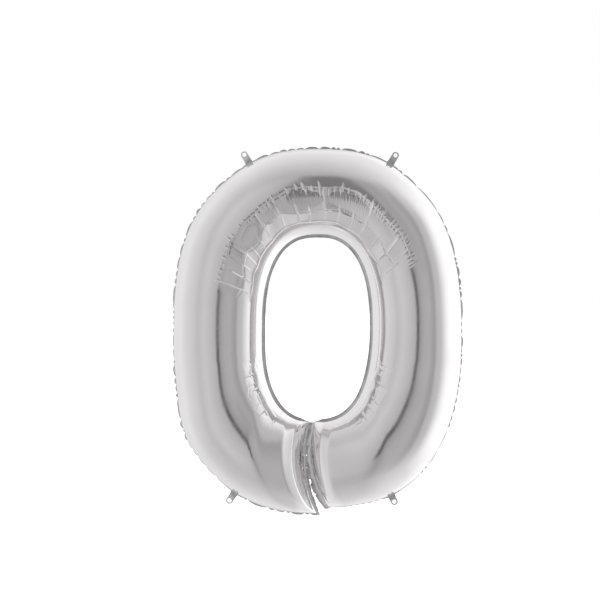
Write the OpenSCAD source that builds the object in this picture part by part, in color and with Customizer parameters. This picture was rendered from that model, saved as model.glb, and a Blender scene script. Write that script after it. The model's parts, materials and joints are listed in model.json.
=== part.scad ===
// Foil number balloon: an air-filled numeral 0, 350 mm tall.
// Two film panels are welded round their edges into a tube bent to a C, whose two
// closed ends meet at a slit under the hole. X is to the right, Z is up, and the
// weld lies in the plane y = 0. The origin is the middle of the numeral.

/* [Numeral] */
// Overall height over the outer weld, mm
numeral_h = 350; // [300:1:400]
// Overall width over the outer weld, mm
numeral_w = 277; // [250:1:300]
// How square the outer outline is: 2 is an ellipse
outline_power = 2.43; // [2:0.01:3]
// How far the lower left shoulder stands out of that outline, mm
lower_left_bulge = 4.2; // [0:0.1:5]
// How far the upper left shoulder dips inside it, mm
upper_left_dip = 3.2; // [0:0.1:5]
// How far the upper right shoulder dips inside it, mm
upper_right_dip = 2.2; // [0:0.1:4]
// Height of the hole, mm
hole_h = 172; // [150:1:190]
// Width of the hole, mm
hole_w = 98.8; // [80:0.2:110]
// How square the hole is: 2 is an ellipse
hole_power = 2.5; // [2:0.01:3]
// How far the middle of the hole lies above the middle of the numeral, mm
hole_rise = 2.4; // [0:0.1:5]
// How far the lower half of the hole is skewed towards the lower left, mm
hole_skew = 1.9; // [0:0.1:3]
// Front to back depth of the inflated tube, mm
tube_depth = 78; // [60:1:84]

/* [Film and welds] */
// Thickness of a film panel as modelled, mm
film_t = 0.25; // [0.2:0.05:0.4]
// Thickness of the flat weld, two films together, mm
weld_t = 0.5; // [0.4:0.05:0.8]
// Width of the flat weld, mm
weld_w = 3; // [2:0.5:4]

/* [Slit] */
// Place of the slit at the hole, mm right of the middle
slit_top_x = -5; // [-10:0.5:0]
// Place of the slit at the outer edge, mm right of the middle
slit_foot_x = 2.8; // [0:0.1:6]
// How far the slit bows to the left, mm
slit_bow = 9.3; // [4:0.1:12]
// Gap between the two ends at the hole, mm
slit_gap = 0.6; // [0.5:0.1:1]
// Extra gap between the two ends at the outer edge, mm
slit_flare = 5; // [2:0.5:7]
// How far the foot of the right arm is drawn up beside the slit, mm
right_foot_lift = 6; // [0:0.5:8]
// Length over which each end of the tube swells from its weld to full depth, mm
end_swell = 15; // [12:1:24]
// Length over which each arm of the tube thins towards its end, mm
thin_reach = 66; // [40:1:90]
// Share of the depth that an arm would lose right at its end
end_thinning = 0.35; // [0:0.05:0.5]

/* [Hanging tabs] */
// Clockwise place of the upper left tab, degrees from the foot
upper_left_turn = 157.8; // [150:0.1:165]
// Clockwise place of the upper right tab, degrees from the foot
upper_right_turn = 203.6; // [195:0.1:210]
// Clockwise place of the lower left tab, degrees from the foot
lower_left_turn = 27.2; // [20:0.1:35]
// Clockwise place of the lower right tab, degrees from the foot
lower_right_turn = 335.8; // [325:0.1:340]
// Distance from the outer edge of the weld to the eyelet of an upper tab, mm
upper_tab_reach = 8.2; // [7:0.1:10]
// Distance from the outer edge of the weld to the eyelet of the lower left tab, mm
lower_left_reach = 7.3; // [5:0.1:10]
// Distance from the outer edge of the weld to the eyelet of the lower right tab, mm
lower_right_reach = 5; // [5:0.1:10]
// Width of a tab, mm
tab_w = 6.6; // [6:0.1:8]
// Width of a tab where it leaves the weld, mm
tab_root_w = 8; // [7:0.1:10]
// Radius of the eyelet, mm
eyelet_r = 1.9; // [1.5:0.1:2.2]
// Gap that stands for the bending line between weld and tab, mm
bend_gap = 0.8; // [0.7:0.05:1]

/* [Valve] */
// Width of the valve sleeve, mm
valve_w = 18; // [14:1:18]
// Length of the valve sleeve, mm
valve_len = 70; // [50:1:75]
// Clear space between the two valve films, mm
valve_gap = 0.2; // [0.2:0.05:0.3]

/* [Hidden] */

$fn = 48;
foil = "silver";
valve_film = [0.85, 0.87, 0.9, 0.6];

// Steps along the loop in each swelling end and in the rest, and across the tube.
end_steps = 6;
loop_steps = 72;
across_steps = 12;

// Half sizes of the two seam lines, where a weld meets the swollen film.
seam_a = numeral_w / 2 - weld_w;
seam_b = numeral_h / 2 - weld_w;
hole_a = hole_w / 2 + weld_w;
hole_b = hole_h / 2 + weld_w;
foot_span = seam_b - hole_b + hole_rise;
weld_share = weld_w / foot_span;
film_share = film_t / foot_span;

// Angle beside the slit over which the foot of the right arm is drawn up.
lift_span = 42;

// Middle and half width of each uneven shoulder, as angles clockwise from the foot.
lower_left_shoulder = [51, 11];
upper_left_shoulder = [150, 14];
upper_right_shoulder = [213, 10];

// The valve sleeve lies just above mid height of the right arm's end.
valve_rise = 1;
valve_z = -(hole_b - hole_rise + seam_b) / 2 + valve_rise;
valve_half_lift = 1;
valve_half_angle = 20;
notch_w = valve_w + 0.6;

// Direction at an angle turned clockwise from straight down, seen from the front.
function down_turned(turn) = [-sin(turn), -cos(turn)];

// Radius of a superellipse in that direction.
function oval_r(turn, a, b, power) =
    1 / pow(pow(abs(sin(turn)) / a, power) + pow(abs(cos(turn)) / b, power), 1 / power);

// Share of the lift at the foot of the right arm, from 0 to 1 at the slit.
function foot_share(turn) =
    let (left = max(0, 1 - (360 - turn) / lift_span))
    left * left * (3 - 2 * left);

// Bell curve round a shoulder, given as its middle and half width.
function bell(turn, shoulder) = exp(-pow((turn - shoulder[0]) / shoulder[1], 2));

function hole_point(turn) =
    let (
        oval = oval_r(turn, hole_a, hole_b, hole_power),
        skew = hole_skew * sin(2 * turn) * max(0, cos(turn))
    )
    (oval + skew) * down_turned(turn) + [0, hole_rise];

function rim_point(turn) =
    let (
        oval = oval_r(turn, seam_a, seam_b, outline_power),
        bulge = lower_left_bulge * bell(turn, lower_left_shoulder),
        left_dip = upper_left_dip * bell(turn, upper_left_shoulder),
        right_dip = upper_right_dip * bell(turn, upper_right_shoulder),
        lift = right_foot_lift * foot_share(turn)
    )
    (oval + bulge - left_dip - right_dip - lift) * down_turned(turn);

// Point in the plane of the weld: share 0 is the hole's seam line, 1 is the outer one.
function flat_point(turn, share) =
    (1 - share) * hole_point(turn) + share * rim_point(turn);

// Radius at the foot, where the slit crosses the tube.
function foot_r(share) = hole_b - hole_rise + share * foot_span;

// The cut edges of the two ends are bowed curves, given as x at a share of the tube.
function cut_share(share) = (share + weld_share) / (1 + 2 * weld_share);
function left_cut_x(share) =
    let (f = cut_share(share))
    slit_top_x + (slit_foot_x - slit_top_x) * f - 4 * slit_bow * f * (1 - f);
function right_cut_x(share) =
    left_cut_x(share) + slit_gap + slit_flare * pow(cut_share(share), 3);

// Turn at which a point lies the distance inset inside the cut edge of an end.
function first_turn(share, inset) = asin((inset - left_cut_x(share)) / foot_r(share));
function last_turn(share, inset) = 360 - asin((right_cut_x(share) + inset) / foot_r(share));

// Stations along the loop: each is a pair of its place, 0 to 1 between the ends of the
// full-depth tube, or the swell angle of 0 to 90 degrees in one of the two ends.
loop_count = 2 * end_steps + loop_steps;
function swell_angle(i) =
    i < end_steps ? 90 * i / end_steps
    : i > loop_count - end_steps ? 90 * (loop_count - i) / end_steps : 90;
function station_turn(i, share, inset) =
    let (
        swell = (end_swell - inset) * (1 - cos(swell_angle(i))),
        place = min(max((i - end_steps) / loop_steps, 0), 1),
        left_swell = i <= end_steps ? swell : end_swell - inset,
        first = first_turn(share, weld_w + inset + left_swell),
        right_swell = i >= loop_count - end_steps ? swell : end_swell - inset,
        last = last_turn(share, weld_w + inset + right_swell)
    )
    first + (last - first) * place;

// Share of the full depth at a station: the ends swell from their welds, then thin out.
function depth_share(i) =
    let (
        place = min(max((i - end_steps) / loop_steps, 0), 1),
        from_end = end_swell + min(place, 1 - place) * PI * (seam_a + hole_b),
        left = max(0, 1 - from_end / thin_reach)
    )
    sin(swell_angle(i)) * (1 - end_thinning * left * left);

// One skin of a panel. An inset of 0 is the outside and film_t is the inside.
function skin_point(i, j, inset) =
    let (
        across = 180 * j / across_steps,
        edge = film_share * inset / film_t,
        share = edge + (1 - 2 * edge) * (1 - cos(across)) / 2,
        flat = flat_point(station_turn(i, share, inset), share),
        at_mouth = i == loop_count && abs(across - 90) < valve_half_angle,
        mouth = at_mouth ? valve_half_lift : 0,
        depth = (tube_depth / 2 - inset) * depth_share(i) * sin(across)
    )
    [flat[0], -max(depth, mouth), flat[1]];

row = across_steps + 1;
skin_count = (loop_count + 1) * row;

// The two triangles of a four-sided patch.
function patch(a, b, c, d) = [[a, b, c], [a, c, d]];

// One film panel, swollen towards -Y, as a closed thin shell.
module swollen_panel() {
    points = [
        for (inset = [0, film_t])
            for (i = [0 : loop_count])
                for (j = [0 : across_steps])
                    skin_point(i, j, inset)
    ];
    outside = [
        for (i = [0 : loop_count - 1])
            for (j = [0 : across_steps - 1])
                let (k = i * row + j)
                each patch(k, k + row, k + row + 1, k + 1)
    ];
    inside = [
        for (face = outside)
            [face[2] + skin_count, face[1] + skin_count, face[0] + skin_count]
    ];
    hole_rim = [
        for (i = [0 : loop_count - 1])
            let (k = i * row)
            each patch(k, k + skin_count, k + row + skin_count, k + row)
    ];
    outer_rim = [
        for (i = [0 : loop_count - 1])
            let (k = i * row + across_steps)
            each patch(k, k + row, k + row + skin_count, k + skin_count)
    ];
    left_rim = [
        for (k = [0 : across_steps - 1])
            each patch(k, k + 1, k + 1 + skin_count, k + skin_count)
    ];
    right_rim = [
        for (j = [0 : across_steps - 1])
            let (k = loop_count * row + j)
            each patch(k, k + skin_count, k + 1 + skin_count, k + 1)
    ];
    polyhedron(points, concat(outside, inside, hole_rim, outer_rim, left_rim, right_rim));
}

// A flat shape drawn in X and Z, as thick as a weld and centred on y = 0.
module flat_weld() {
    rotate([90, 0, 0])
        linear_extrude(height = weld_t, center = true)
            children();
}

// The weld along the loop between two shares of the tube's width.
module loop_weld(low_share, high_share) {
    stations = [for (i = [0 : loop_count]) i];
    low_edge = [for (i = stations) flat_point(station_turn(i, low_share, 0), low_share)];
    high_edge = [
        for (i = stations)
            let (k = loop_count - i)
            flat_point(station_turn(k, high_share, 0), high_share)
    ];
    flat_weld() polygon(concat(low_edge, high_edge));
}

// Shares of the tube's width at which a panel's rows of points lie.
panel_shares = [for (j = [0 : across_steps]) (1 - cos(180 * j / across_steps)) / 2];

// Shares at which the end welds have their corners, from the hole to the outer edge.
end_shares = concat([-weld_share], panel_shares, [1 + weld_share]);

module front_panel() {
    color(foil) swollen_panel();
}

module back_panel() {
    color(foil) mirror([0, 1, 0]) swollen_panel();
}

module outer_seam() {
    color(foil) loop_weld(1, 1 + weld_share);
}

module inner_seam() {
    color(foil) loop_weld(-weld_share, 0);
}

module left_end_seam() {
    cut_edge = [for (s = end_shares) flat_point(first_turn(s, 0), s)];
    swell_edge = [for (s = end_shares) flat_point(first_turn(-s + 1, weld_w), -s + 1)];
    color(foil) flat_weld() polygon(concat(cut_edge, swell_edge));
}

// The weld of the right end is left open round the mouth of the valve.
module right_end_seam() {
    cut_edge = [for (s = end_shares) flat_point(last_turn(s, 0), s)];
    swell_edge = [for (s = end_shares) flat_point(last_turn(-s + 1, weld_w), -s + 1)];
    color(foil) flat_weld() difference() {
        polygon(concat(cut_edge, swell_edge));
        translate([right_cut_x(0.5), valve_z])
            square([4 * weld_w, notch_w], center = true);
    }
}

// Outward direction of the outer edge, as an angle from +X.
function edge_normal(turn) =
    let (
        before = flat_point(turn - 0.5, 1 + weld_share),
        after = flat_point(turn + 0.5, 1 + weld_share),
        along = after - before
    )
    atan2(-along[0], along[1]) + 180;

// A hanging tab in its own axes: +X points outwards from the bending line.
module hanging_tab(turn, reach) {
    root = flat_point(turn, 1 + weld_share);
    taper_len = 3;
    color(foil)
        translate([root[0], 0, root[1]])
            rotate([0, -edge_normal(turn), 0])
                difference() {
                    union() {
                        rotate([90, 0, 0])
                            linear_extrude(height = weld_t, center = true)
                                polygon([
                                    [bend_gap, -tab_root_w / 2],
                                    [bend_gap + taper_len, -tab_w / 2],
                                    [reach, -tab_w / 2],
                                    [reach, tab_w / 2],
                                    [bend_gap + taper_len, tab_w / 2],
                                    [bend_gap, tab_root_w / 2]
                                ]);
                        translate([reach, 0, 0])
                            rotate([90, 0, 0])
                                cylinder(h = weld_t, r = tab_w / 2, center = true);
                    }
                    translate([reach, 0, 0])
                        rotate([90, 0, 0])
                            cylinder(h = 3 * weld_t, r = eyelet_r, center = true);
                }
}

module upper_left_tab() {
    hanging_tab(upper_left_turn, upper_tab_reach);
}

module upper_right_tab() {
    hanging_tab(upper_right_turn, upper_tab_reach);
}

module lower_left_tab() {
    hanging_tab(lower_left_turn, lower_left_reach);
}

module lower_right_tab() {
    hanging_tab(lower_right_turn, lower_right_reach);
}

// One film of the self-sealing valve sleeve, from the cut edge into the right arm.
module valve_strip() {
    mouth_x = right_cut_x(0.5) + 0.2;
    color(valve_film)
        translate([mouth_x, valve_gap / 2, valve_z - valve_w / 2])
            cube([valve_len, film_t, valve_w]);
}

module valve_front_film() {
    mirror([0, 1, 0]) valve_strip();
}

module valve_back_film() {
    valve_strip();
}

front_panel();
back_panel();
outer_seam();
inner_seam();
left_end_seam();
right_end_seam();
upper_left_tab();
upper_right_tab();
lower_left_tab();
lower_right_tab();
valve_front_film();
valve_back_film();
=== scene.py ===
import json
import math

import bpy
import numpy as np
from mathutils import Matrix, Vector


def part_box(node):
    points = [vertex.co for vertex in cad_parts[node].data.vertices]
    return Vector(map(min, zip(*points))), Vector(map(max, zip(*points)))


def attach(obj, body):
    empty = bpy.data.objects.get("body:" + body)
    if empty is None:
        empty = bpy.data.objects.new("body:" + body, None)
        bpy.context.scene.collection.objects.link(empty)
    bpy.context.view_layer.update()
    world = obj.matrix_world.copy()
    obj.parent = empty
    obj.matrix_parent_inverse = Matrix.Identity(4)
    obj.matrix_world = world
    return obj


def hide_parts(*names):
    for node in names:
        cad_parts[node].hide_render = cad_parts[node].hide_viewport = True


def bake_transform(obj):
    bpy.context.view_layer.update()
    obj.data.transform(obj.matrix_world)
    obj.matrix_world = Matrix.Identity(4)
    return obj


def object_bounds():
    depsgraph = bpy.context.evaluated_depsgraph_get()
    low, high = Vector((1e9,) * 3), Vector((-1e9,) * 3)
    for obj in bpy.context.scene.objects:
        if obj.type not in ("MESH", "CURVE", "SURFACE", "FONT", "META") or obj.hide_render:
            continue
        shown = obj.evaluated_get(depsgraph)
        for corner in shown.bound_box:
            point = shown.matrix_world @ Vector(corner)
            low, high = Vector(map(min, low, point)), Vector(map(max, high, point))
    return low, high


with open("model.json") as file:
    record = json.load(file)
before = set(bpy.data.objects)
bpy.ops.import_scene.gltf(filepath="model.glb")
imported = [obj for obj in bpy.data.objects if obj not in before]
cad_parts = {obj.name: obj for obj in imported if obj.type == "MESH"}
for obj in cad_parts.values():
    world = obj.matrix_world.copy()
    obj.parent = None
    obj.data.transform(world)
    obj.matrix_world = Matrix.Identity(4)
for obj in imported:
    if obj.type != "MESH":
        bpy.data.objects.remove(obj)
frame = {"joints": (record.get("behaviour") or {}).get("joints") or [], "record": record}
cad_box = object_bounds()
scene = bpy.context.scene

# Looks of the foil numeral balloon: two blown film panels, the welds that join them,
# four die-cut hanging tabs and the two films of the valve.
# Shapes are worked out in millimetres in the frame's axes: X right, Y back, Z up.
MM = 0.001
FULL_TURN = 2 * math.pi


def box_mm(node):
    """Lowest and highest corner of a CAD node, in millimetres."""
    return np.array(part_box(node)) / MM


# --- Outline, worked out from the frame ---

panel_low = box_mm("front_panel")[0]
rim_low, rim_high = box_mm("outer_seam")
ring_low, ring_high = box_mm("inner_seam")
valve_low, valve_high = box_mm("valve_back_film")

# Width of the flat weld in the CAD model, and how much of it still lies flat outside
# the swollen film at the rim, at the hole and at the two ends.
CAD_WELD = 3.0
RIM_FLANGE = 1.8
HOLE_FLANGE = 2.4
END_FLANGE = 2.2

TUBE_R = -panel_low[1]
RIM_A = (rim_high[0] - rim_low[0]) / 2 - RIM_FLANGE
RIM_B = rim_high[2] - RIM_FLANGE
HOLE_A, HOLE_B = ((ring_high - ring_low) / 2 - CAD_WELD + HOLE_FLANGE)[[0, 2]]
HOLE_RISE = (ring_high[2] + ring_low[2]) / 2
FOOT_SPAN = RIM_B - HOLE_B + HOLE_RISE

# How square the two ovals are, how far the hole leans to the left at its foot, and how
# far and over which turn the right arm's foot is raised.
RIM_POWER = 2.43
HOLE_POWER = 2.5
HOLE_SKEW = 1.9
FOOT_LIFT = 6.0
LIFT_SPAN = math.radians(42)
# Uneven shoulders of the rim: how far out, and middle and half width in degrees.
SHOULDERS = ((4.2, 51, 11), (-3.2, 150, 14), (-2.2, 213, 10))

# The slit's left edge at the hole and at the foot, its bow, its width and its flare.
SLIT_TOP_X = -5.0
SLIT_FOOT_X = 2.8
SLIT_BOW = 9.3
SLIT_GAP = 0.6
SLIT_FLARE = 5.0


def down(turn):
    """Direction in X and Z at an angle turned clockwise from straight down."""
    return np.stack((-np.sin(turn), -np.cos(turn)), -1)


def oval(turn, a, b, power):
    """Radius of a superellipse in that direction."""
    sides = (np.abs(np.sin(turn)) / a) ** power + (np.abs(np.cos(turn)) / b) ** power
    return sides ** (-1 / power)


def ease(x):
    """Smooth step from 0 at 0 to 1 at 1."""
    x = np.clip(x, 0, 1)
    return x * x * (3 - 2 * x)


def between(x, low, high, soft):
    """1 between low and high, reached from 0 over the soft width inside each."""
    return ease((x - low) / soft) * ease((high - x) / soft)


def bump(x, width):
    """A rounded bump: 1 where x is 0, fading over the width."""
    return np.exp(-((x / width) ** 2))


def unit(vectors):
    """Each vector, made 1 long."""
    return vectors / np.maximum(np.linalg.norm(vectors, axis=-1, keepdims=True), 1e-9)


def hole_point(turn):
    """Point in X and Z on the film's edge round the hole."""
    skew = HOLE_SKEW * np.sin(2 * turn) * np.clip(np.cos(turn), 0, None)
    radius = oval(turn, HOLE_A, HOLE_B, HOLE_POWER) + skew
    return radius[..., None] * down(turn) + (0, HOLE_RISE)


def rim_point(turn):
    """Point in X and Z on the film's outer edge."""
    radius = oval(turn, RIM_A, RIM_B, RIM_POWER)
    for out, middle, half_width in SHOULDERS:
        radius = radius + out * bump(np.degrees(turn) - middle, half_width)
    radius = radius - FOOT_LIFT * ease(1 - (FULL_TURN - turn) / LIFT_SPAN)
    return radius[..., None] * down(turn)


def flat_point(turn, share):
    """Point in the plane of the weld: share 0 is the film's hole edge, 1 its rim."""
    share = np.asarray(share)[..., None]
    return (1 - share) * hole_point(turn) + share * rim_point(turn)


def foot_r(share):
    """Radius at the foot, where the slit crosses the tube."""
    return HOLE_B - HOLE_RISE + share * FOOT_SPAN


def slit_share(share):
    """How far down the slit a share lies: 0 at the hole's cut edge, 1 at the rim's."""
    inside = HOLE_B - HOLE_FLANGE - HOLE_RISE
    return np.clip((foot_r(share) - inside) / (RIM_B + RIM_FLANGE - inside), 0, None)


def left_cut_x(share):
    """X of the left arm's cut edge."""
    f = slit_share(share)
    return SLIT_TOP_X + (SLIT_FOOT_X - SLIT_TOP_X) * f - 4 * SLIT_BOW * f * (1 - f)


def right_cut_x(share):
    """X of the right arm's cut edge."""
    return left_cut_x(share) + SLIT_GAP + SLIT_FLARE * slit_share(share) ** 3


def first_turn(share, inset):
    """Turn at a distance inside the cut edge of the left arm."""
    return np.arcsin((inset - left_cut_x(share)) / foot_r(share))


def last_turn(share, inset):
    """Turn at a distance inside the cut edge of the right arm."""
    return FULL_TURN - np.arcsin((right_cut_x(share) + inset) / foot_r(share))


def lattice_noise(x, y, seed):
    """Smooth noise from -1 to 1, with one cell for each unit of x and y."""
    size = 128
    grid = np.random.default_rng(seed).uniform(-1, 1, (size, size))
    column, row = np.floor(x).astype(int), np.floor(y).astype(int)
    fx, fy = ease(x - column), ease(y - row)

    def in_row(row):
        near, far = grid[column % size, row % size], grid[(column + 1) % size, row % size]
        return near * (1 - fx) + far * fx

    return in_row(row) * (1 - fy) + in_row(row + 1) * fy


def line_noise(run, cell, seed):
    """Smooth noise along a line, with one cell for each so many millimetres."""
    return lattice_noise(run / cell, run * 0, seed)


def uneven(start, stop, low, high, seed):
    """Places from start to stop whose steps are between low and high."""
    rng = np.random.default_rng(seed)
    places = [start]
    while places[-1] < stop:
        places.append(places[-1] + rng.uniform(low, high))
    return np.array(places)


def end_turns(share):
    """Turns of the film's two ends at a share."""
    return first_turn(share, END_FLANGE), last_turn(share, END_FLANGE)


def seam_line(count, share):
    """Curve in X and Z along the loop at a share, and the distance run along it."""
    place = np.linspace(0, 1, count)
    first, last = end_turns(share)
    flat = flat_point(first + (last - first) * place, np.full_like(place, share))
    steps = np.linalg.norm(np.diff(flat, axis=0), axis=1)
    return flat, np.concatenate(([0], np.cumsum(steps)))


# Places along the loop run from 0 at the left arm's end to 1 at the right arm's.
# Distances along it are measured on the rim, or on a middle line at MID_SHARE.
MID_SHARE = 0.3
FINE = 4001
fine_place = np.linspace(0, 1, FINE)
rim_flat, rim_run = seam_line(FINE, 1.0)
rim_turn = np.linspace(*end_turns(1.0), FINE)
mid_run = seam_line(FINE, MID_SHARE)[1]
LOOP_FIRST, LOOP_LAST = end_turns(MID_SHARE)


def mid_run_at(place):
    """Distance along the middle line of a place."""
    return np.interp(place, fine_place, mid_run)


def place_at_degrees(degrees):
    """Place along the loop of a turn in degrees."""
    return (np.radians(degrees) - LOOP_FIRST) / (LOOP_LAST - LOOP_FIRST)


def degrees_at(place):
    """Turn in degrees of a place along the loop."""
    return np.degrees(LOOP_FIRST + (LOOP_LAST - LOOP_FIRST) * place)


# --- The blown tube ---

# How full the end faces are: at 1 they would rise in a straight line.
FACE_CURVE = 0.62


class ArmEnd:
    """How an arm thins to a folded ridge and then drops over its steep end face."""

    def __init__(self, ridge, slopes):
        """ridge is its distance from the weld; slopes are pairs of distance and degrees."""
        self.ridge = ridge
        self.reach = slopes[-1][0]
        distance = np.linspace(ridge, self.reach, 400)
        angle = np.interp(distance, *zip(*slopes))
        fall = np.tan(np.radians(angle)) * (distance[1] - distance[0])
        self.distance = distance
        self.height = 1 - np.cumsum(fall[::-1])[::-1] / TUBE_R

    def fold(self, share):
        """Distance of the ridge from the weld. It runs into the weld at the foot."""
        return self.ridge * np.sqrt(np.clip(1 - share**5, 0.02, 1))

    def rise(self, distance, share):
        """Share of the full depth at a distance from the weld."""
        fold = self.fold(share)
        face = np.clip(distance / fold, 0, 1) ** FACE_CURVE
        return face * np.interp(distance * self.ridge / fold, self.distance, self.height)


LEFT_END = ArmEnd(10.5, ((0, 31), (20, 31), (21.2, 14), (44, 13), (60, 0)))
RIGHT_END = ArmEnd(9.0, ((0, 38), (17.5, 36), (18.7, 11), (50, 9), (80, 0)))
# How far the films are lifted at the valve's mouth, over the valve's height and a margin.
VALVE_MOUTH_LIFT = 1.0
MOUTH_MARGIN = 0.3
MOUTH_FOOT_Z = valve_low[2] - MOUTH_MARGIN
MOUTH_TOP_Z = valve_high[2] + MOUTH_MARGIN


def tube_point(place, across, side):
    """Smooth film: place 0 to 1 along the loop, across 0 at the hole to pi at the rim."""
    share = (1 - np.cos(across)) / 2
    first, last = end_turns(share)
    turn = first + (last - first) * place
    flat = flat_point(turn, share)
    rise = LEFT_END.rise((turn - first) * foot_r(share), share)
    rise = rise * RIGHT_END.rise((last - turn) * foot_r(share), share)
    height = side * TUBE_R * np.sin(across) * rise
    return np.stack((flat[..., 0], height, flat[..., 1]), -1)


def grid_normals(points, side):
    """Outward unit normals of a film grid."""
    normals = unit(np.cross(np.gradient(points, axis=0), np.gradient(points, axis=1)))
    middle = normals[len(points) // 2, points.shape[1] // 2, 1]
    return normals * (side * np.sign(middle))


# --- Puckers of the outer seam ---

# Where they are along the rim, and how deep, to which side and how far in each one goes.
rng = np.random.default_rng(11)
PUCKERS = uneven(7, rim_run[-1] - 4, 3.6, 9, 12)
PUCKERS = PUCKERS[rng.random(len(PUCKERS)) < 0.6]
PUCKER_DEPTH = rng.uniform(0.35, 1.0, len(PUCKERS))
PUCKER_SIDE = rng.choice((-1, 1), len(PUCKERS)) * rng.uniform(0.5, 1.0, len(PUCKERS))
PUCKER_REACH = rng.uniform(6, 20, len(PUCKERS))
TAB_JOINTS = {j["child"]: j for j in frame["joints"] if j["child"].endswith("_tab")}
TAB_CALM = 9.0
# A pucker's half width at the seam, how far it draws the seam in and swings it in Y, and
# how deep its groove in the film is.
PUCKER_SPREAD = 1.9
DRAWN_IN = 0.8
SWING = 0.3
GROOVE_DEPTH = 0.55
# Widths of the flange: widest between two puckers, at a pucker, beside a hanging tab.
DASH_W = rng.uniform(1.0, 1.8, len(PUCKERS) + 1)
PUCKER_W = 0.2
CALM_W = 1.1
# Pairs of turn and share of the weld's width that shows there.
WELD_SHOWS = (
    (0, 1.2), (22, 1.1), (30, 0.4), (46, 0.4), (54, 1.1), (74, 1.0), (80, 0.5), (98, 0.5),
    (106, 1.0), (300, 1.0), (312, 0.45), (352, 0.45), (360, 1.0),
)


def tab_calm(run):
    """1 away from the hanging tabs and 0 beside them, where the seam stays flat."""
    calm = np.ones_like(run)
    for joint in TAB_JOINTS.values():
        spot = np.array(joint["pos_m"])[[0, 2]] / MM
        nearest = rim_run[np.argmin(np.linalg.norm(rim_flat - spot, axis=1))]
        calm *= ease((np.abs(run - nearest) - 4) / TAB_CALM)
    return calm


def pinch(run):
    """How far the seam is drawn in at the puckers, and its swing to one side, from 0 to 1."""
    inward, swing = np.zeros_like(run), np.zeros_like(run)
    for at, depth, way in zip(PUCKERS, PUCKER_DEPTH, PUCKER_SIDE):
        bell = bump(run - at, PUCKER_SPREAD)
        inward += depth * bell
        swing += way * bell
    calm = tab_calm(run)
    return inward * calm, swing * calm


def flange_width(run):
    """Visible width of the outer weld: a lens between each two puckers."""
    marks = np.concatenate(([-6.0], PUCKERS, [rim_run[-1] + 8]))
    after = np.clip(np.searchsorted(marks, run), 1, len(marks) - 1)
    f = np.clip((run - marks[after - 1]) / (marks[after] - marks[after - 1]), 0, 1)
    lens = PUCKER_W + (DASH_W[after - 1] - PUCKER_W) * (4 * f * (1 - f)) ** 0.6
    degrees = np.degrees(np.interp(run, rim_run, rim_turn))
    lens *= np.interp(degrees, *zip(*WELD_SHOWS))
    calm = tab_calm(run)
    return lens * calm + CALM_W * (1 - calm)


# --- Creases ---

# Lines along the loop between which the film breaks into flat facets, as angles across
# the tube from the hole. Grid columns follow these lines.
CREASE_LINES = (0.80, 1.10, 1.62)
# Creased parts of the film. first, last and edge are turns, rows are the lines there, lift
# moves their knots in Y, weight is how flat the facets are, fold, valley, ridge and
# outer_valley are heights and depths, and outer_rise moves the outer line at the top.
# columns are runs of turns with the least and greatest step between radial folds.
TOP_ZONE = dict(
    first=110, last=238, edge=12, rows=(0.80, 1.12, 1.61), row_jitter=(0.04, 0.09, 0.05),
    lift=(0.3, 1.0, 0.4), weight=0.95, fold=0.95, valley=0.7, ridge=0.4, outer_rise=0.08, outer_valley=0.3,
    columns=((110, 176, 4.5, 8.0), (176, 238, 5.5, 9.5)), seed=5,
)
LOW_LEFT_ZONE = dict(
    first=22, last=68, edge=8, rows=(0.62, 0.80, 0.98), row_jitter=(0.04, 0.05, 0.07),
    lift=(0.2, 0.35, 0.2), weight=0.6, fold=0.42, valley=0.2, ridge=0.3, outer_rise=0.0,
    outer_valley=0.05, columns=((22, 68, 2.4, 5),), seed=8,
)
LOW_RIGHT_ZONE = dict(LOW_LEFT_ZONE, first=294, last=344, columns=((294, 344, 2.6, 5.5),), seed=9)
ZONES = (TOP_ZONE, LOW_LEFT_ZONE, LOW_RIGHT_ZONE)
# Runs of fine ribs beside the outer line of the top zone: first and last turn, least and
# greatest spacing, middle measured from that line, half length across the tube, height.
RIBS = (
    (120, 150, 2.2, 5.2, -0.01, 0.07, 0.40), (150, 178, 4.0, 9.0, -0.04, 0.11, 0.42),
    (182, 208, 2.2, 5.2, -0.12, 0.17, 0.26), (208, 236, 2.2, 5.2, -0.02, 0.08, 0.36),
)


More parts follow.
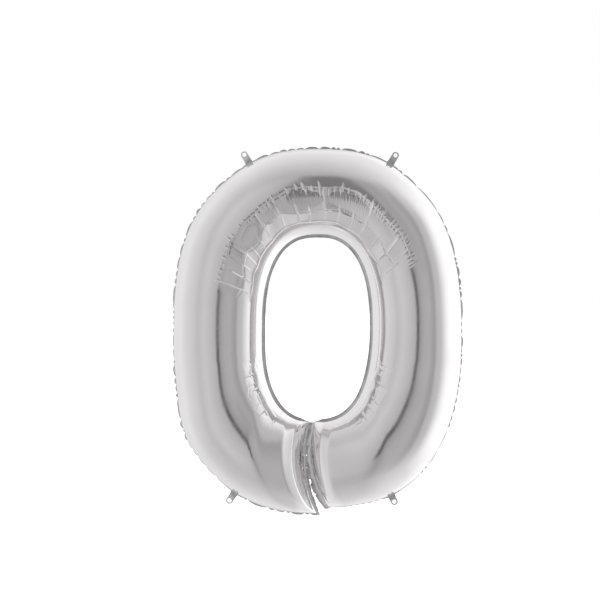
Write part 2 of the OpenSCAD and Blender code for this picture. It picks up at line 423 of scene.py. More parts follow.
class Zone:
    """Knots of one creased part of the film, and the lines that run between them."""

    def __init__(self, spec, seed):
        self.spec = spec
        rng = np.random.default_rng(spec["seed"] + seed)
        runs = [uneven(*run, spec["seed"] + seed + k)[:-1] for k, run in enumerate(spec["columns"])]
        self.turns = np.append(np.concatenate(runs), spec["last"])
        self.places = place_at_degrees(self.turns)
        shape = (len(self.turns), len(CREASE_LINES))
        self.knots = np.array(spec["rows"]) + rng.uniform(-1, 1, shape) * spec["row_jitter"]
        self.knots[:, -1] += spec["outer_rise"] * bump(self.turns - 178, 18)
        self.lift = rng.uniform(-1, 1, shape) * spec["lift"]
        self.fold_size = rng.uniform(0.3, 1, len(self.turns))
        self.valley_size = rng.uniform(-0.1, 1, len(self.turns))

    def lines(self, place):
        """The crease lines at each place, and how near the zone each place is."""
        bounds = np.stack([np.interp(place, self.places, knot) for knot in self.knots.T], -1)
        degrees = degrees_at(place)
        outside = np.maximum(self.spec["first"] - degrees, degrees - self.spec["last"])
        return bounds, ease(1 - outside / 8)

    def sides(self, place):
        """1 inside the zone, falling to 0 at its first and last turn."""
        return between(degrees_at(place), self.spec["first"], self.spec["last"], self.spec["edge"])

    def column_at(self, place):
        """Number of the facet column that each place falls in."""
        return np.clip(np.searchsorted(self.places, place) - 1, 0, len(self.places) - 2)

    def flattened(self, points, place, part, side):
        """Moves the film between the crease lines onto flat facets between the knots."""
        knots = tube_point(self.places[:, None], self.knots, side)
        knots[..., 1] += side * self.lift
        column = self.column_at(place)
        step = self.places[column + 1] - self.places[column]
        f = np.clip((place - self.places[column]) / step, 0, 1)[:, None, None]
        line = knots[column] * (1 - f) + knots[column + 1] * f
        weight = self.spec["weight"] * self.sides(place)[:, None]
        total = np.zeros(points.shape[:2])
        moved = points.copy()
        for row in range(len(CREASE_LINES) - 1):
            inside = (part >= row + 1) & (part <= row + 2)
            t = (part[inside] - row - 1)[None, :, None]
            facet = line[:, row, None] * (1 - t) + line[:, row + 1, None] * t
            moved[:, inside] += weight[..., None] * (facet - points[:, inside])
            total[:, inside] = weight
        return moved, total

    def add_folds(self, folds, seed):
        """A thin raised fold along each line between two facets."""
        rng = np.random.default_rng(self.spec["seed"] + seed + 100)
        sizes = self.fold_size * self.sides(self.places)
        for place, knot, size in zip(self.places[1:-1], self.knots[1:-1], sizes[1:-1]):
            low = knot[0] + rng.uniform(-0.05, 0.15)
            high = knot[-1] + rng.uniform(-0.35, 0.08)
            folds.rows.append((place, low, high, self.spec["fold"] * size, rng.uniform(0.45, 0.85)))

    def line_relief(self, place, across, bounds):
        """A ridge along the inner line and valleys along the other two."""
        size = self.valley_size[self.column_at(place)][:, None]
        from_inner, from_middle, from_outer = (
            (across - bounds[:, k, None]) * TUBE_R for k in range(len(CREASE_LINES))
        )
        valley = self.spec["valley"] * np.clip(size, 0, 1)
        outer = self.spec["outer_valley"] * np.clip(1.2 - size, 0, 1)
        relief = self.spec["ridge"] * bump(from_inner, 0.8)
        relief = relief - valley * bump(from_middle - 0.5, 0.9) - outer * bump(from_outer + 1.1, 1.0)
        return relief * self.sides(place)[:, None]


# Angle across the tube over which a fold fades in at each end.
FOLD_TIP = 0.08


class Folds:
    """Thin raised folds that run across the tube, each at its own place on the loop."""

    def __init__(self):
        # Place, lowest and highest angle across the tube, height and half width of each.
        self.rows = []

    def places(self):
        """Extra grid rows that follow the section of each fold."""
        offsets = np.array((-2.0, -1.0, -0.5, 0, 0.5, 1.0, 2.0))
        table = np.array(self.rows)
        runs = mid_run_at(table[:, 0])[:, None] + table[:, 4:] * offsets
        return np.interp(runs.ravel(), mid_run, fine_place)

    def raised(self, place, across):
        """Height of all folds over the film grid."""
        run = mid_run_at(place)
        total = np.zeros(across.shape)
        for at, low, high, height, half_width in self.rows:
            gap = run - mid_run_at(at)
            near = np.abs(gap) < 3 * half_width
            spot = across[near]
            window = between(spot, low - FOLD_TIP / 2, high + FOLD_TIP / 2, FOLD_TIP)
            total[near] += height * bump(gap[near, None], half_width) * window
        return total


def fine_ribs(folds, top, seed):
    """Adds the ribs beside the top zone's outer line."""
    rng = np.random.default_rng(seed)
    for first, last, low_step, high_step, middle, half, height in RIBS:
        start, stop = mid_run_at(place_at_degrees(np.array((first, last))))
        for run in uneven(start, stop, low_step, high_step, seed + first):
            place = np.interp(run, mid_run, fine_place)
            spot = np.interp(place, top.places, top.knots[:, -1]) + middle + rng.uniform(-0.05, 0.05)
            reach = half * rng.uniform(0.5, 1.1)
            size = height * rng.uniform(0.3, 1)
            folds.rows.append((place, spot - reach, spot + reach, size, rng.uniform(0.3, 0.5)))


# --- Meshes ---

# Edges bent by more than this are shown sharp.
SHARP_EDGE = math.radians(55)


def add_object(name, data):
    """A new object in the scene."""
    obj = bpy.data.objects.new(name, data)
    scene.collection.objects.link(obj)
    return obj


def both(outside, inside):
    """One list of the rows of two grids."""
    return np.concatenate((outside.reshape(-1, 3), inside.reshape(-1, 3)))


def add_mesh(name, points, faces, run, triangles=()):
    """A smooth-shaded mesh object from millimetres. run tells the material where it is."""
    corners = points[faces]
    volume = sum(np.sum(corners[:, 0] * np.cross(corners[:, k], corners[:, k + 1])) for k in (1, 2))
    turn_over = -1 if volume < 0 else 1
    lists = faces[:, ::turn_over].tolist() + [t[::turn_over] for t in triangles]
    mesh = bpy.data.meshes.new(name)
    mesh.from_pydata((points * MM).tolist(), [], lists)
    mesh.shade_smooth()
    mesh.set_sharp_from_angle(angle=SHARP_EDGE)
    attribute = mesh.attributes.new("run", "FLOAT_VECTOR", "POINT")
    attribute.data.foreach_set("vector", run.astype(np.float32).ravel())
    return add_object(name, mesh)


def two_sides(x, y, z, half):
    """Front and back points of a thin sheet whose middle is at x, y and z."""
    return [np.stack((x, y + way * half, z), -1) for way in (-1, 1)]


def run_values(along, across, crease=0.0):
    """What the material reads at each point: two lengths in metres, and how creased it is."""
    return np.stack(np.broadcast_arrays(along * MM, across * MM, crease), -1)


def quads_of(number):
    """The faces of a grid of numbered points."""
    corners = (number[:-1, :-1], number[1:, :-1], number[1:, 1:], number[:-1, 1:])
    return np.stack(corners, -1).reshape(-1, 4)


def border_of(number):
    """The numbers round the edge of a grid, in order."""
    return np.concatenate(
        (number[0, :-1], number[:-1, -1], number[-1, :0:-1], number[:0:-1, 0])
    )


def shell(name, outside, inside, run, coarse=1):
    """A closed solid between two grids. The inner one keeps one row in every few, by coarse."""
    rows, columns = outside.shape[:2]
    number = np.arange(rows * columns).reshape(rows, columns)
    kept_rows = np.unique(np.append(np.arange(0, rows, coarse), rows - 1))
    kept_columns = np.unique(np.append(np.arange(0, columns, coarse), columns - 1))
    inner = inside[kept_rows][:, kept_columns]
    inner_run = run[kept_rows][:, kept_columns]
    inner_number = rows * columns + np.arange(inner[..., 0].size).reshape(inner.shape[:2])
    row_of = np.searchsorted(kept_rows, np.arange(rows), side="right") - 1
    column_of = np.searchsorted(kept_columns, np.arange(columns), side="right") - 1
    partner = border_of(inner_number[row_of][:, column_of])
    border = border_of(number)
    rim = np.stack((border, partner, np.roll(partner, -1), np.roll(border, -1)), -1)
    is_quad = rim[:, 1] != rim[:, 2]
    faces = np.concatenate((quads_of(number), quads_of(inner_number)[:, ::-1], rim[is_quad]))
    triangles = rim[~is_quad][:, (0, 1, 3)].tolist()
    return add_mesh(name, both(outside, inner), faces, both(run, inner_run), triangles)


# --- Film panels ---

# Rows along the loop without those of the folds, least step between two rows, columns from
# the hole to each crease line and the rim, and depth and coarseness of the lining.
ALONG = 400
LEAST_STEP = 0.17
ACROSS = (20, 11, 19, 44)
LINING_T = 0.9
COARSE = 4
# Fine folds on the left arm's end face: place from the weld to the ridge, first and last
# angle across the tube, height.
END_STREAKS = (
    (0.22, 0.5, 1.9, 0.35), (0.42, 0.7, 2.3, 0.55), (0.60, 0.4, 1.6, 0.45), (0.78, 1.0, 2.4, 0.4),
)


def station_places(folds):
    """Places along the loop, closer together at both ends, with rows on every fold."""
    ends = np.exp(-np.minimum(fine_place, 1 - fine_place) / 0.02)
    total = np.cumsum(1 + 2.5 * ends)
    total = (total - total[0]) / (total[-1] - total[0])
    base = np.interp(np.linspace(0, 1, ALONG + 1), total, fine_place)
    places = np.sort(np.concatenate((base, folds.places())))
    kept = [places[0]]
    for place in places[1:]:
        if mid_run_at(place) - mid_run_at(kept[-1]) > LEAST_STEP:
            kept.append(place)
    kept[-1] = 1.0
    return np.array(kept)


def column_parts():
    """For each column, 0 at the hole, 1 to 3 on the crease lines and 4 at the rim."""
    parts = [np.zeros(1)]
    for row, count in enumerate(ACROSS):
        t = np.linspace(0, 1, count + 1)[1:]
        parts.append(row + t - 0.09 * np.sin(FULL_TURN * t))
    return np.concatenate(parts)


def across_grid(place, zones):
    """Angle across the tube of every grid point, the parts of its columns, and the lines."""
    lines = np.tile(np.array(CREASE_LINES), (len(place), 1))
    for zone in zones:
        bounds, near = zone.lines(place)
        lines += near[:, None] * (bounds - CREASE_LINES)
    edges = np.pad(lines, ((0, 0), (1, 1)), constant_values=(0, math.pi))
    part = column_parts()
    row = np.minimum(part.astype(int), len(ACROSS) - 1)
    return edges[:, row] * (1 - part + row) + edges[:, row + 1] * (part - row), part, lines


def end_streaks(place, across):
    """Fine folds along the steep face of the left arm, beside its ridge."""
    share = (1 - np.cos(across)) / 2
    first, last = end_turns(share)
    distance = (last - first) * place * foot_r(share)
    spot = distance / LEFT_END.fold(share)
    streaks = np.zeros_like(spot)
    for at, low, high, height in END_STREAKS:
        window = between(across, low - 0.15, high + 0.15, 0.3)
        streaks += height * bump(spot - at, 0.05) * window
    return streaks


def film_panel(name, side, seed):
    """One blown film, with its facets, folds, puckers and lining. side is -1 at the front."""
    zones = [Zone(spec, seed) for spec in ZONES]
    folds = Folds()
    for zone in zones:
        zone.add_folds(folds, seed)
    fine_ribs(folds, zones[0], 300 + seed)
    place = station_places(folds)
    across, part, lines = across_grid(place, zones)
    points = tube_point(place[:, None], across, side)
    smooth = points
    normals = grid_normals(points, side)
    crease_weight = np.zeros(points.shape[:2])
    loop_run = mid_run_at(place)[:, None]
    arc = TUBE_R * across
    swell = 0.22 * lattice_noise(loop_run / 55, arc / 24, seed + 1)
    swell += 0.05 * lattice_noise(loop_run / 16, arc / 30, seed + 2)
    for zone in zones:
        points, weight = zone.flattened(points, place, part, side)
        crease_weight += weight
        swell += zone.line_relief(place, across, lines)
    swell += folds.raised(place, across) + end_streaks(place[:, None], across)

    # Puckers run inwards from the outer seam and widen as they fade.
    rim = np.interp(place, fine_place, rim_run)
    from_rim = TUBE_R * (math.pi - across)
    grooves = np.zeros(points.shape[:2])
    for at, depth, reach in zip(PUCKERS, PUCKER_DEPTH, PUCKER_REACH):
        bell = bump(rim[:, None] - at, 1.4 + 0.22 * from_rim)
        grooves += depth * bell * np.exp(-from_rim / (0.5 * reach))
    swell -= GROOVE_DEPTH * grooves * tab_calm(rim)[:, None]

    # The seam line itself is drawn in and swings a little to the front and back.
    inward, swing = pinch(rim)
    hold = np.exp(-from_rim / 5)
    outward = unit(smooth[:, -1:] - smooth[:, :1])
    points = points - outward * (DRAWN_IN * inward[:, None] * hold)[..., None]
    points[..., 1] += SWING * swing[:, None] * hold

    # The relief fades at all four edges, so that the two films and the welds meet.
    fade = ease(np.minimum(arc, math.pi * TUBE_R - arc) / 4)
    ends = ease(np.minimum(place, 1 - place) / 0.004)[:, None]
    points = points + normals * (swell * np.maximum(fade, 0.15) * ends)[..., None]

    mouth = (points[-1, :, 2] > MOUTH_FOOT_Z) & (points[-1, :, 2] < MOUTH_TOP_Z)
    points[-1, mouth, 1] = side * VALVE_MOUTH_LIFT
    inside = smooth - normals * (LINING_T * fade * ends)[..., None]
    inside[..., 1] = np.where(side * inside[..., 1] < 0, 0, inside[..., 1])
    return shell(name, points, inside, run_values(loop_run, arc, crease_weight), COARSE)


# --- Welds ---


def outward_of(flat):
    """Unit normals in the plane, to the left of a curve's direction."""
    along = unit(np.gradient(flat, axis=0))
    return np.stack((-along[:, 1], along[:, 0]), -1)


def weld_strip(name, flat, outward, reach, half, wave, run):
    """A pressed strip: reach and half thickness across it, and its wave in Y."""
    across = np.broadcast_to(reach, (len(flat), reach.shape[-1]))
    spot = flat[:, None, :] + outward[:, None, :] * across[..., None]
    upper, lower = two_sides(spot[..., 0], wave, spot[..., 1], half)
    return shell(name, upper, lower, run_values(run[:, None], across))


# Section of a weld: places from its root to its edge, and half thickness at each.
STRIP = np.array((-0.2, 0.0, 0.12, 0.3, 0.55, 0.8, 1.0))
STRIP_HALF = np.array((0.22, 0.34, 0.26, 0.2, 0.17, 0.15, 0.13))
STRIP_FREE = np.clip(STRIP, 0, 1)


def outer_weld():
    """The scalloped weld round the outside."""
    flat, run = seam_line(1601, 1.0)
    outward = outward_of(flat)
    inward, swing = pinch(run)
    flat = flat - outward * (DRAWN_IN * inward)[:, None]
    width = flange_width(run) * (1 + 0.1 * line_noise(run, 5, 21))
    reach = np.clip(width, 0.2, RIM_FLANGE)[:, None] * STRIP
    flutter = 0.06 * line_noise(run, 7, 22) * tab_calm(run)
    wave = SWING * swing[:, None] + flutter[:, None] * STRIP_FREE
    return weld_strip("outer_weld", flat, outward, reach, STRIP_HALF, wave, run)


def inner_weld():
    """The weld round the hole. It narrows beside the slit."""
    flat, run = seam_line(901, 0.0)
    outward = -outward_of(flat)
    width = HOLE_FLANGE * (1 - 0.08 * np.abs(line_noise(run, 9, 23)))
    width *= 0.15 + 0.85 * ease(np.minimum(run, run[-1] - run) / 9)
    wave = 0.2 * line_noise(run, 11, 24)[:, None] * STRIP_FREE
    return weld_strip("inner_weld", flat, outward, width[:, None] * STRIP, STRIP_HALF, wave, run)


def end_weld(name, turn_at, shares, set_back, spare, ragged, seed):
    """The weld across one arm's end, over a run of shares, moved in Y by set_back.

    spare is how far it hangs over the cut edge, ragged the depth of the nicks in its edge.
    """
    share = np.linspace(*shares, int(300 * (shares[1] - shares[0])))
    flat = flat_point(turn_at(share, END_FLANGE), share)
    edge = flat_point(turn_at(share, 0.0), share)
    run = share * FOOT_SPAN
    outward = unit(edge - flat)
    f = slit_share(share)
    spare = np.interp(f, *spare)
    nick = ease((line_noise(run, 1.9, seed) - 0.22) / 0.4) * ease((f - 0.12) / 0.1)
    width = END_FLANGE + spare - ragged * (0.7 + 0.3 * spare) * nick
    z = flat[:, 1]
    mouth = between(z, valve_low[2] - 2.5, valve_high[2] + 2.5, 2.5)
    set_back = set_back * (1 + 0.9 * mouth)
    wave = set_back[:, None] + 0.3 * line_noise(run, 5, seed + 1)[:, None] * STRIP_FREE
    return weld_strip(name, flat, outward, width[:, None] * STRIP, 0.8 * STRIP_HALF, wave, run)


# --- Hanging tabs ---

# Thickness, how far the film runs in from the bending line, length of the tapered part
# beside the root, half widths at the head and at the root, and radius of the eyelet.
TAB_T = 0.28
TAB_ROOT_IN = 2.2
TAB_TAPER = 3.0
TAB_HEAD_R = 3.3
TAB_ROOT_HALF = 4.0
EYELET_R = 1.9


def eyelet_of(tab):
    """Middle of the tab's eyelet, from the mount of that name."""
    name = tab.replace("_tab", "_eyelet")
    mount = next(m for m in frame["record"]["mounts"] if m["name"] == name)
    return np.array(mount["pos_m"])[[0, 2]] / MM


def tab_outline(angle, stem):
    """Distance from the eyelet to the tab's edge; angle 0 points away from the balloon."""
    along, side = np.cos(angle), np.abs(np.sin(angle))
    to_side = TAB_HEAD_R / np.maximum(side, 1e-6)
    slope = (TAB_ROOT_HALF - TAB_HEAD_R) / TAB_TAPER
    taper = (TAB_HEAD_R + slope * (TAB_TAPER - stem)) / np.maximum(side + slope * along, 1e-6)
    tapers = -along * to_side > stem - TAB_TAPER
    to_side = np.where(tapers, np.maximum(to_side, taper), to_side)
    to_root = stem / np.maximum(-along, 1e-6)
    return np.where(along > 0, TAB_HEAD_R, np.minimum(to_side, to_root))


def ring_shell(name, upper, lower, run):
    """A thin closed solid round a hole: the first and last rows are the same place."""
    upper, lower, run = upper[:-1], lower[:-1], run[:-1]
    number = np.arange(run[..., 0].size).reshape(run.shape[:2])
    below = number.size
    number = np.concatenate((number, number[:1]))
    top = quads_of(number)
    inner, outer = (
        np.stack((edge[:-1], edge[:-1] + below, edge[1:] + below, edge[1:]), -1)
        for edge in (number[:, 0], number[:, -1])
    )
    faces = np.concatenate((top, top[:, ::-1] + below, inner, outer[:, ::-1]))
    return add_mesh(name, both(upper, lower), faces, both(run, run))


def hanging_tab(name, seed):
    """One tab with its eyelet, blended over its bending line into the balloon."""
    root = np.array(TAB_JOINTS[name]["pos_m"])[[0, 2]] / MM
    eyelet = eyelet_of(name)
    out = unit(eyelet - root)
    side_way = np.array((-out[1], out[0]))
    stem = np.linalg.norm(eyelet - root) + TAB_ROOT_IN
    angle = np.linspace(0, FULL_TURN, 121)
    edge = tab_outline(angle, stem)[:, None]
    rings = np.array((0, 0.04, 0.12, 0.22, 0.34, 0.5, 0.68, 0.84, 0.95, 1.0))
    radius = EYELET_R + (edge - EYELET_R) * rings
    local = np.stack((radius * np.cos(angle)[:, None], radius * np.sin(angle)[:, None]), -1)
    spot = eyelet + local[..., :1] * out + local[..., 1:] * side_way

    rng = np.random.default_rng(seed)
    bow = rng.uniform(-0.016, 0.016)
    twist = rng.uniform(-0.03, 0.03)
    free = np.clip(local[..., 0] + stem - TAB_ROOT_IN, 0, None)
    wave = bow * free**2 + twist * free * local[..., 1]
    # A bead round the eyelet and a groove inside the edge, as a die leaves them.
    bead = 0.09 * bump(radius - EYELET_R - 0.55, 0.3)
    groove = 0.05 * bump(edge - radius - 0.6, 0.35)
    half = TAB_T / 2 + bead - groove
    upper, lower = two_sides(spot[..., 0], wave, spot[..., 1], half)
    run = run_values(local[..., 0], local[..., 1])
    tab = ring_shell(name.replace("_tab", "_hanging_tab"), upper, lower, run)
    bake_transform(tab)
    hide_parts(name)
    return tab


# --- Valve ---

# Half thickness of each valve film.
VALVE_HALF = 0.06


def valve_film(name, node, side):
    """One thin film of the sleeve, with sealed edges, fine ripples and a lip at the inlet."""
    low, high = box_mm(node)
    x = np.linspace(low[0], high[0], 90)
    z = np.linspace(low[2], high[2], 30)
    xx, zz = np.meshgrid(x, z, indexing="ij")
    middle = (low[1] + high[1]) / 2
    q = (zz - low[2]) / (high[2] - low[2])
    lip = 0.12 * np.sin(math.pi * q) * np.exp(-(xx - low[0]) / 4)
    edge = 0.05 * bump(np.minimum(q, 1 - q) - 0.07, 0.02)
    ripple = 0.04 * lattice_noise(xx / 6, zz / 3, 31)
    y = middle + side * (lip + np.abs(ripple) * np.sin(math.pi * q))
    upper, lower = two_sides(xx, y, zz, VALVE_HALF + edge)
    film = shell(name, upper, lower, run_values(xx, zz))
    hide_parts(node)
    return film


# --- Materials ---


class Nodes:
    """Short names for making and joining shader nodes."""

    def __init__(self, tree):
        self.tree = tree

    def add(self, kind, **settings):
        node = self.tree.nodes.new("ShaderNode" + kind)
        for key, value in settings.items():
            if hasattr(node, key):
                setattr(node, key, value)
            else:
                node.inputs[key.replace("_", " ")].default_value = value
        return node

    def join(self, source, target):
        self.tree.links.new(source, target)

    def feed(self, value, socket):
        """A number, a colour or another node's output into a socket."""
        if isinstance(value, (int, float)):
            socket.default_value = value
        elif isinstance(value, tuple):
            socket.default_value = (*value, 1.0)
        else:
            self.join(value, socket)

    def math(self, operation, a, b=0.0):
        node = self.add("Math", operation=operation)
        self.feed(a, node.inputs[0])
        self.feed(b, node.inputs[1])
        return node.outputs[0]

    def span(self, value, low, high, to_low, to_high):
        """A value's range from low to high, mapped and held at both ends."""
        node = self.add("MapRange")
        for socket, number in zip(node.inputs[:5], (value, low, high, to_low, to_high)):
            self.feed(number, socket)
        return node.outputs[0]

    def window(self, value, low, high, low_soft, high_soft):
        """1 between low and high, falling to 0 over the soft widths outside them."""
        rise = self.span(value, low - low_soft, low, 0.0, 1.0)
        fall = self.span(value, high, high + high_soft, 1.0, 0.0)
        return self.math("MULTIPLY", rise, fall)

    def mix(self, share, first, second):
        """first where share is 0 and second where it is 1, for plain values."""
        rest = self.math("SUBTRACT", 1.0, share)
        kept = self.math("MULTIPLY", first, rest)
        return self.math("ADD", kept, self.math("MULTIPLY", second, share))

    def tint(self, share, first, second):
        """The same for colours, with a node's output as the share."""
        node = self.add("Mix", data_type="RGBA")
        self.join(share, node.inputs["Factor"])
        self.feed(first, node.inputs[6])
        self.feed(second, node.inputs[7])
        return node.outputs[2]

    def relief(self, height, strength, distance, shader):
        """A height in the shader's normal."""
        node = self.add("Bump", Strength=strength, Distance=distance)
        self.join(height, node.inputs["Height"])
        self.join(node.outputs[0], shader.inputs["Normal"])

    def ramp(self, value, stops):
        """A colour ramp of (position, grey or colour) pairs."""
        node = self.add("ValToRGB")
        elements = node.color_ramp.elements
        elements.remove(elements[1])
        for k, (position, tone) in enumerate(stops):
            element = elements[0] if k == 0 else elements.new(position)
            element.position = position
            tone = (tone,) * 3 if isinstance(tone, (int, float)) else tone
            element.color = (*tone, 1)
        self.join(value, node.inputs[0])
        return node.outputs[0]


def empty_material(name):
    """A material with an output node only."""
    material = bpy.data.materials.new(name)
    material.use_nodes = True
    material.node_tree.nodes.clear()
    nodes = Nodes(material.node_tree)
    return material, nodes, nodes.add("OutputMaterial")


def new_material(name, metallic):
    """A material with a principled shader."""
    material, nodes, output = empty_material(name)
    shader = nodes.add("BsdfPrincipled", Metallic=metallic)
    nodes.join(shader.outputs[0], output.inputs["Surface"])
    return material, nodes, shader


def run_of(nodes):
    """The mesh's own along, across and crease values."""
    node = nodes.add("Attribute", attribute_name="run")
    split = nodes.add("SeparateXYZ")
    nodes.join(node.outputs["Vector"], split.inputs[0])
    return node.outputs["Vector"], split.outputs


def stretched_noise(nodes, vector, scale, detail=3.0):
    """Noise from 0 to 1 with its own scale along each axis, per metre."""
    mapping = nodes.add("Mapping")
    mapping.inputs["Scale"].default_value = scale
    nodes.join(vector, mapping.inputs["Vector"])
    noise = nodes.add("TexNoise", Scale=1.0, Detail=detail)
    nodes.join(mapping.outputs[0], noise.inputs["Vector"])
    return noise.outputs["Fac"]


# Colours of the arms' two end faces, painted brighter than those of the rest of the film as
# painted light, and the distances from each end between which they give way.
END_PAINTED_DARK = (0.945, 0.93, 0.934)
END_PAINTED_LIGHT = (0.98, 0.965, 0.969)
LEFT_FACE = (9, 13)
RIGHT_FACE = (8, 12)
# Pitch of the marks of the sealing bar, in millimetres.
MARK_PITCH = 1.1


def painted_light_share(nodes, along):
    """Where light is painted: 1 on the arms' two end faces and 0 on the rest of the film."""
    left = nodes.span(along, *(d * MM for d in LEFT_FACE), 1.0, 0.0)
    right = nodes.span(along, *((mid_run[-1] - d) * MM for d in RIGHT_FACE), 1.0, 0.0)
    return nodes.math("ADD", left, right)


def foil_material(name, dark, light, rough, grain, crinkle):
    """Metallised film: two colours, with painted light on the arms' end faces, a least and greatest
    roughness, and two depths of relief.

    grain is the depth of a soft unevenness all over, crinkle that of streaks on the facets.
    """
    material, nodes, shader = new_material(name, 1.0)
    run, split = run_of(nodes)
    place = nodes.add("TexCoord").outputs["Object"]
    clouds = stretched_noise(nodes, place, (22, 22, 22))
    plain = nodes.ramp(clouds, ((0.3, dark), (0.7, light)))
    # Painted light: the arms' end faces get brighter colours than the rest of the film.
    painted_light_tone = nodes.ramp(clouds, ((0.3, END_PAINTED_DARK), (0.7, END_PAINTED_LIGHT)))
    nodes.join(nodes.tint(painted_light_share(nodes, split["X"]), plain, painted_light_tone), shader.inputs["Base Color"])
    haze = stretched_noise(nodes, run, (60, 24, 1))
    nodes.join(nodes.span(haze, 0.3, 0.7, *rough), shader.inputs["Roughness"])

    streaks = stretched_noise(nodes, run, (700, 90, 1), 2.0)
    soft = stretched_noise(nodes, run, (160, 60, 1), 2.0)
    streaks = nodes.math("MULTIPLY", streaks, nodes.math("ADD", split["Z"], 0.08))
    streaks = nodes.math("MULTIPLY", streaks, crinkle)
    nodes.relief(nodes.math("ADD", streaks, nodes.math("MULTIPLY", soft, grain)), 1.0, MM, shader)
    return material


def pressed_material(name, dark, light, root=None):
    """Pressed film with the fine crossed marks of the sealing bar. root is a colour painted at its root as
    painted light.
    """
    material, nodes, shader = new_material(name, 1.0)
    run, split = run_of(nodes)
    clouds = stretched_noise(nodes, run, (240, 120, 1))
    tone = nodes.ramp(clouds, ((0.3, dark), (0.7, light)))
    # Painted light: the root colour lightens the weld where it meets the film.
    if root:
        outer = nodes.span(split["Y"], 0.4 * END_FLANGE * MM, END_FLANGE * MM, 0.0, 1.0)
        tone = nodes.tint(outer, root, tone)
    nodes.join(tone, shader.inputs["Base Color"])
    nodes.join(nodes.ramp(clouds, ((0.3, 0.16), (0.75, 0.3))), shader.inputs["Roughness"])
    per_metre = FULL_TURN / (MARK_PITCH * MM)
    along, across = (nodes.math("SINE", nodes.math("MULTIPLY", split[k], per_metre)) for k in "XY")
    marks = nodes.math("MULTIPLY", nodes.math("MULTIPLY", along, across), 0.012)
    nodes.relief(nodes.math("ADD", marks, nodes.math("MULTIPLY", clouds, 0.12)), 1.0, MM, shader)
    return material


def valve_material():
    """Thin milky plastic."""
    material, nodes, shader = new_material("valve_plastic", 0.0)
    clouds = stretched_noise(nodes, run_of(nodes)[0], (180, 60, 1))
    milky = nodes.ramp(clouds, ((0.3, (0.74, 0.76, 0.78)), (0.7, (0.86, 0.87, 0.88))))
    nodes.join(milky, shader.inputs["Base Color"])
    nodes.join(nodes.ramp(clouds, ((0.3, 0.22), (0.7, 0.36))), shader.inputs["Roughness"])
    shader.inputs["Alpha"].default_value = 0.55
    nodes.relief(clouds, 0.5, 0.1 * MM, shader)
    return material


# --- Studio ---

# What surrounds the balloon at eye height: degrees from the front, turning to the
# right, and brightness: pale walls at both sides and grey screens beside the camera.
WALLS = (
    (-180, 0.80), (-158, 0.86), (-108, 0.92), (-88, 0.80), (-60, 0.68), (-50, 0.60),
    (-33, 0.68), (-17, 0.59), (-6, 0.53), (4, 0.37), (14, 0.47), (28, 0.50), (38, 0.41),
    (44, 0.39), (48, 0.56), (60, 0.60), (70, 0.86), (80, 1.10), (95, 1.25), (158, 1.20), (180, 0.80),
)
# Brightness overhead and underfoot, from the front (y = -1) to the back (y = 1).
OVERHEAD = ((-1, 0.50), (-0.7, 0.52), (-0.5, 0.62), (0, 0.80), (0.5, 0.92), (0.87, 1.05), (1, 1.05))
UNDERFOOT = ((-1, 0.47), (-0.82, 0.47), (-0.5, 0.58), (0, 0.70), (0.5, 0.85), (1, 0.95))
# How much brighter it is overhead and underfoot at the right.
SIDE_LIGHT = 0.25
# Screens: first and last degree to the right, their soft widths, lowest and highest
# degree, their soft widths, and brightness.
SCREENS = (
    (9, 24, 4, 8, 8, 34, 3, 8, 0.42),
    (-4, 9, 1.0, 4, 8, 34, 3, 8, 0.22),
    (-2.6, 2.6, 1.2, 1.2, -12, 8, 6, 3, 0.13),
)
# A dark slot behind: first degree from the front, half height, softness and brightness.
REAR_SLOT = (172, 12, 6, 0.30)


def studio_world():
    """What the film mirrors. The camera itself sees plain white."""
    world = bpy.data.worlds.new("studio")
    scene.world = world
    world.use_nodes = True
    world.node_tree.nodes.clear()
    nodes = Nodes(world.node_tree)
    split = nodes.add("SeparateXYZ")
    nodes.join(nodes.add("TexCoord").outputs["Generated"], split.inputs[0])
    x, y, z = split.outputs
    right = nodes.math("DEGREES", nodes.math("ARCTAN2", x, nodes.math("MULTIPLY", y, -1.0)))
    up = nodes.math("DEGREES", nodes.math("ARCSINE", z))
    turned = nodes.math("ADD", nodes.math("DIVIDE", right, 360.0), 0.5)
    back = nodes.math("ADD", nodes.math("MULTIPLY", y, 0.5), 0.5)
    level = nodes.ramp(turned, [((a + 180) / 360, b) for a, b in WALLS])
    side = nodes.math("MULTIPLY", nodes.math("MAXIMUM", x, 0.0), SIDE_LIGHT)
    for stops, start, stop in ((OVERHEAD, 0.5, 0.75), (UNDERFOOT, -0.45, -0.75)):
        beyond = nodes.math("ADD", nodes.ramp(back, [((a + 1) / 2, b) for a, b in stops]), side)
        level = nodes.mix(nodes.span(z, start, stop, 0.0, 1.0), level, beyond)
    for first, last, first_soft, last_soft, low, high, low_soft, high_soft, tone in SCREENS:
        wide = nodes.window(right, first, last, first_soft, last_soft)
        tall = nodes.window(up, low, high, low_soft, high_soft)
        level = nodes.mix(nodes.math("MULTIPLY", wide, tall), level, tone)
    edge, reach, soft, tone = REAR_SLOT
    behind = nodes.span(nodes.math("ABSOLUTE", right), edge - soft, edge, 0.0, 1.0)
    near = nodes.span(nodes.math("ABSOLUTE", up), reach, reach + soft, 1.0, 0.0)
    level = nodes.mix(nodes.math("MULTIPLY", behind, near), level, tone)

    seen = nodes.add("LightPath").outputs["Is Camera Ray"]
    level = nodes.mix(seen, level, 1.0)
    background = nodes.add("Background")
    output = nodes.add("OutputWorld")
    nodes.join(level, background.inputs["Color"])
    nodes.join(background.outputs[0], output.inputs["Surface"])


# Half the floor's side and the gap above it, in metres.
FLOOR_HALF = 40.0
FLOOR_GAP = 0.0005


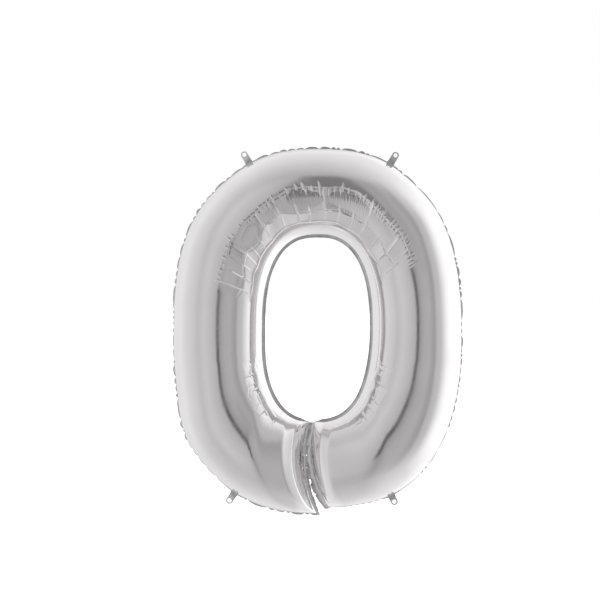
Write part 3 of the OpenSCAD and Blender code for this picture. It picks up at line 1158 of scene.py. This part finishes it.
def floor():
    """A plain pale floor at the balloon's foot."""
    material, nodes, output = empty_material("floor")
    glow = nodes.add("Emission", Strength=0.85)
    matt = nodes.add("BsdfDiffuse", Color=(0.6, 0.6, 0.6, 1))
    added = nodes.add("AddShader")
    nodes.join(glow.outputs[0], added.inputs[0])
    nodes.join(matt.outputs[0], added.inputs[1])
    nodes.join(added.outputs[0], output.inputs["Surface"])
    level = cad_box[0][2] - FLOOR_GAP
    mesh = bpy.data.meshes.new("floor")
    corners = [(x * FLOOR_HALF, y * FLOOR_HALF, level) for x, y in ((-1, -1), (1, -1), (1, 1), (-1, 1))]
    mesh.from_pydata(corners, [], [(0, 1, 2, 3)])
    mesh.materials.append(material)
    plane = add_object("floor", mesh)
    plane.visible_glossy = False


def soft_light(name, place, size, power):
    """A large soft lamp turned to the balloon, which the film doesn't mirror."""
    lamp = bpy.data.lights.new(name, "AREA")
    lamp.size = size
    lamp.energy = power
    obj = add_object(name, lamp)
    obj.location = place
    obj.rotation_euler = (-obj.location).to_track_quat("-Z", "Y").to_euler()
    obj.visible_glossy = False


# Width of the view at the balloon, the camera's distance and place, in metres, and its
# sensor in millimetres. The balloon hangs right of and below the middle of the view.
VIEW_WIDTH = 0.569
CAMERA_DISTANCE = 2.5
SENSOR = 36.0
CAMERA_ASIDE = -0.0166
CAMERA_ABOVE = 0.0294


def add_camera():
    """A level camera straight in front."""
    middle = (cad_box[0] + cad_box[1]) / 2
    data = bpy.data.cameras.new("camera")
    data.sensor_width = SENSOR
    data.lens = SENSOR * CAMERA_DISTANCE / VIEW_WIDTH
    camera = add_object("camera", data)
    camera.location = (middle[0] + CAMERA_ASIDE, middle[1] - CAMERA_DISTANCE, middle[2] + CAMERA_ABOVE)
    camera.rotation_euler = (math.pi / 2, 0, 0)
    scene.camera = camera


# --- Assembly ---

add_camera()
studio_world()
floor()
soft_light("key_light", (1.6, -1.8, 1.6), 1.5, 18)
soft_light("fill_light", (-1.8, -1.2, 1.2), 1.5, 9)
scene.view_settings.view_transform = "Standard"

panel_foil = foil_material("panel_foil", (0.823, 0.80, 0.806), (0.87, 0.847, 0.853), (0.10, 0.17), 0.03, 0.12)
weld_foil = pressed_material("weld_foil", (0.68, 0.67, 0.675), (0.78, 0.77, 0.775))
# Painted shade: the end welds and the valve's lip in the slit are darker than the outer weld, with painted
# light at their root.
painted_shade_end_foil = pressed_material("painted_shade_end_foil", (0.56, 0.547, 0.551), (0.74, 0.724, 0.729), (0.87, 0.855, 0.86))
tab_foil = pressed_material("tab_foil", (0.7, 0.69, 0.695), (0.8, 0.79, 0.795))
valve_plastic = valve_material()

front_film = film_panel("front_film", -1, 0)
back_film = film_panel("back_film", 1, 40)
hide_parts("front_panel")
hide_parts("back_panel")

rim_share = 1 + RIM_FLANGE / FOOT_SPAN
mouth_share = [(-z - HOLE_B + HOLE_RISE) / FOOT_SPAN for z in (MOUTH_TOP_Z, MOUTH_FOOT_Z)]
whole_end = (0.006, rim_share)
# How far each end weld hangs over its cut edge, in millimetres, by depth down the slit.
left_spare = ((0, 0.45, 0.6, 0.85, 0.93, 1), (0.4, 0.4, 1.0, 1.0, 0.3, -0.6))
right_spare = ((0, 0.45, 0.62, 0.8, 0.92, 1), (1.0, 1.2, 1.9, 3.0, 2.4, 0.8))
welds = (
    (outer_weld(), "outer_seam"),
    (inner_weld(), "inner_seam"),
    (end_weld("left_end_weld", first_turn, whole_end, 0.5, left_spare, 0.5, 51), "left_end_seam"),
    (end_weld("right_end_weld", last_turn, whole_end, -0.5, right_spare, 1.0, 61), "right_end_seam"),
    (end_weld("valve_mouth_lip", last_turn, mouth_share, 0.5, ((0, 1), (0, 0)), 1.0, 71), "right_end_seam"),
)
for weld, node in welds:
    weld.data.materials.append(painted_shade_end_foil if node.endswith("end_seam") else weld_foil)
    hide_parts(node)
    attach(weld, "balloon")
for film in (front_film, back_film):
    film.data.materials.append(panel_foil)
    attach(film, "balloon")

for count, tab_name in enumerate(sorted(TAB_JOINTS)):
    hanging_tab(tab_name, 80 + count).data.materials.append(tab_foil)

valve_front = valve_film("valve_front", "valve_front_film", -1)
valve_back = valve_film("valve_back", "valve_back_film", 1)
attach(valve_front, "balloon")
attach(valve_back, "valve_flap")
for film in (valve_front, valve_back):
    film.data.materials.append(valve_plastic)
